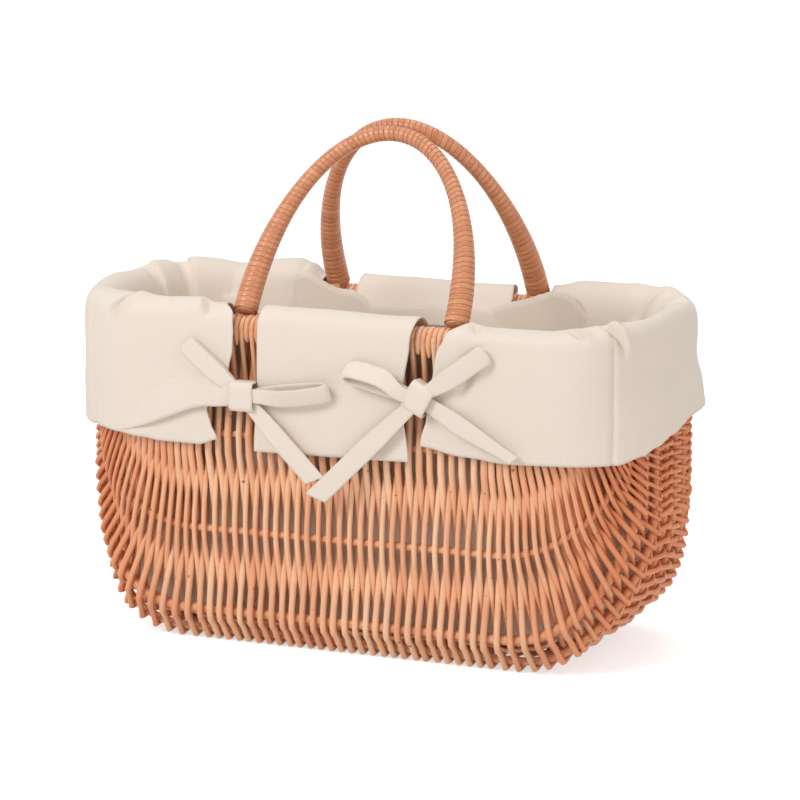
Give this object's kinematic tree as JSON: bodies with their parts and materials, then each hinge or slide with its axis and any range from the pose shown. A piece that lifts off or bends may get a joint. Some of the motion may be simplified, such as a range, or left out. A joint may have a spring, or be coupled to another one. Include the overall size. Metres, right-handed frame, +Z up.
{
  "type": "wicker basket bag",
  "caption": "Boat-shaped willow basket with a wrapped rim, lengthwise ribs, two leaning bound handles, and a cotton liner folded over the rim and tied with bows.",
  "frame": {"origin": "on the ground under the middle of the basket", "axes": "+X along the length to the right seen from the front, +Y to the back, +Z up"},
  "size_m": [0.4102, 0.207, 0.3344],
  "materials": {
    "rib_willow": "smooth peeled rod, satin",
    "woven_willow": "woven peeled rods, satin",
    "handle_skein": "split skein, semi-gloss",
    "liner_cotton": "plain-weave cotton, matte"
  },
  "bodies": {
    "basket": {"rim_hoop": "rib_willow", "rim_wrapping": "woven_willow", "front_upper_rib": "rib_willow", "front_middle_rib": "rib_willow", "front_lower_rib": "rib_willow", "front_foot_rib": "rib_willow", "front_base_rib": "rib_willow", "back_upper_rib": "rib_willow", "back_middle_rib": "rib_willow", "back_lower_rib": "rib_willow", "back_foot_rib": "rib_willow", "back_base_rib": "rib_willow", "front_top_weave": "woven_willow", "front_middle_weave": "woven_willow", "front_lower_weave": "woven_willow", "front_edge_weave": "woven_willow", "front_base_weave": "woven_willow", "back_top_weave": "woven_willow", "back_middle_weave": "woven_willow", "back_lower_weave": "woven_willow", "back_edge_weave": "woven_willow", "back_base_weave": "woven_willow", "centre_base_weave": "woven_willow", "front_left_handle_end": "rib_willow", "front_right_handle_end": "rib_willow", "back_left_handle_end": "rib_willow", "back_right_handle_end": "rib_willow", "liner_bag": "liner_cotton", "left_cuff": "liner_cotton", "right_cuff": "liner_cotton", "front_flap": "liner_cotton", "back_flap": "liner_cotton", "front_left_bow_knot": "liner_cotton", "front_left_bow_left_loop": "liner_cotton", "front_left_bow_right_loop": "liner_cotton", "front_left_bow_left_tail": "liner_cotton", "front_left_bow_right_tail": "liner_cotton", "front_right_bow_knot": "liner_cotton", "front_right_bow_left_loop": "liner_cotton", "front_right_bow_right_loop": "liner_cotton", "front_right_bow_left_tail": "liner_cotton", "front_right_bow_right_tail": "liner_cotton", "back_left_bow_knot": "liner_cotton", "back_left_bow_left_loop": "liner_cotton", "back_left_bow_right_loop": "liner_cotton", "back_left_bow_left_tail": "liner_cotton", "back_left_bow_right_tail": "liner_cotton", "back_right_bow_knot": "liner_cotton", "back_right_bow_left_loop": "liner_cotton", "back_right_bow_right_loop": "liner_cotton", "back_right_bow_left_tail": "liner_cotton", "back_right_bow_right_tail": "liner_cotton"},
    "front_handle": {"front_handle_core": "rib_willow", "front_handle_binding": "handle_skein"},
    "back_handle": {"back_handle_core": "rib_willow", "back_handle_binding": "handle_skein"}
  },
  "joints": [
    {"name": "front_handle_lean", "type": "hinge", "parent": "basket", "child": "front_handle", "pos_m": [0.004, -0.071, 0.21777], "axis": [1, 0, 0], "range_deg": [0, 20]},
    {"name": "back_handle_lean", "type": "hinge", "parent": "basket", "child": "back_handle", "pos_m": [0.004, 0.071, 0.21777], "axis": [-1, 0, 0], "range_deg": [0, 20]}
  ]
}
